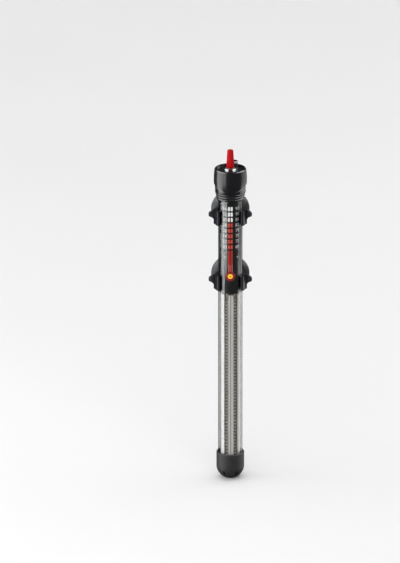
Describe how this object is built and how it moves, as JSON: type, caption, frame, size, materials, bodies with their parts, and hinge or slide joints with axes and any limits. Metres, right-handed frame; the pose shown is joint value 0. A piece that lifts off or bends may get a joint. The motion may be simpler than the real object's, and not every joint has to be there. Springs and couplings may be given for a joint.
{
  "type": "submersible aquarium heater",
  "caption": "Submersible glass-tube aquarium heater with a red setting knob on a black head, a sliding temperature indicator behind a windowed scale, and suction-cup clips.",
  "frame": {"origin": "centre of the small flat under the foot cap, where the heater would stand upright", "axes": "+Z along the tube from foot to head, +Y towards the suction cups, -Y towards the scale"},
  "size_m": [0.0428, 0.0403, 0.3422],
  "materials": {
    "black_plastic": "satin",
    "red_plastic": "satin",
    "clear_glass": "clear",
    "black_rubber": "matte",
    "polished_steel": "polished",
    "steel": "satin",
    "brass": "satin",
    "white_plastic": "matte",
    "red_indicator": "gloss",
    "amber_lens": "gloss",
    "ceramic": "matte",
    "board_brown": "matte",
    "lead_sleeve": "matte",
    "brown_sleeve": "matte",
    "blue_sleeve": "matte",
    "cushion_white": "matte"
  },
  "bodies": {
    "heater": {"glass_tube": "clear_glass", "foot_cap": "black_plastic", "head_cover": "black_plastic", "head_bung": "black_rubber", "spindle_seal": "black_rubber", "knob_collar": "polished_steel", "cable_gland": "black_plastic", "scale_card": "black_plastic", "white_backing": "white_plastic", "pilot_lens": "red_indicator", "lamp_lens": "amber_lens", "neon_lamp": "clear_glass", "thermostat_board": "board_brown", "contact_leaf": "brass", "leaf_rivets": "steel", "blade_block": "ceramic", "fixed_contact": "steel", "snap_magnet": "steel", "lamp_resistor": "ceramic", "suppression_capacitor": "red_indicator", "terminal_tabs": "brass", "live_lead": "brown_sleeve", "neutral_lead": "blue_sleeve", "ceramic_core": "ceramic", "baffle_disc": "ceramic", "core_cushion": "cushion_white", "tie_rod": "steel", "rod_nut": "steel", "heating_coil": "steel", "left_element_lead": "lead_sleeve", "right_element_lead": "lead_sleeve"},
    "setting_knob": {"adjusting_knob": "red_plastic", "spindle": "brass", "spindle_circlip": "steel"},
    "temperature_indicator": {"indicator_tongue": "red_indicator", "indicator_nut": "white_plastic"},
    "switch_blade": {"bimetal_blade": "steel", "moving_contact": "steel"},
    "upper_clip_body": {"upper_clip": "black_plastic"},
    "upper_cup_body": {"upper_suction_cup": "black_rubber"},
    "lower_clip_body": {"lower_clip": "black_plastic"},
    "lower_cup_body": {"lower_suction_cup": "black_rubber"}
  },
  "joints": [
    {"name": "knob_turn", "type": "hinge", "parent": "heater", "child": "setting_knob", "pos_m": [0, 0, 0.3], "axis": [0, 0, -1], "range_deg": [-720.5, 540.5]},
    {"name": "indicator_slide", "type": "slide", "parent": "heater", "child": "temperature_indicator", "axis": [0, 0, 1], "range_m": [-0.0226, 0.01695]},
    {"name": "blade_bend", "type": "hinge", "parent": "heater", "child": "switch_blade", "pos_m": [0, 0.0087, 0.20241], "axis": [-1, 0, 0], "range_deg": [0, 0.5]},
    {"name": "upper_clip_slide", "type": "slide", "parent": "heater", "child": "upper_clip_body", "axis": [0, 0, 1], "range_m": [-0.014, 0.0109]},
    {"name": "upper_cup_turn", "type": "hinge", "parent": "upper_clip_body", "child": "upper_cup_body", "pos_m": [0, 0.0166, 0.27356], "axis": [0, 1, 0], "continuous": true},
    {"name": "lower_clip_slide", "type": "slide", "parent": "heater", "child": "lower_clip_body", "axis": [0, 0, 1], "range_m": [-0.1705, 0.0145]},
    {"name": "lower_cup_turn", "type": "hinge", "parent": "lower_clip_body", "child": "lower_cup_body", "pos_m": [0, 0.0166, 0.20596], "axis": [0, 1, 0], "continuous": true}
  ],
  "couplings": [
    {"joint": "knob_turn", "follows": "indicator_slide", "rad_per_m": 556.03}
  ]
}
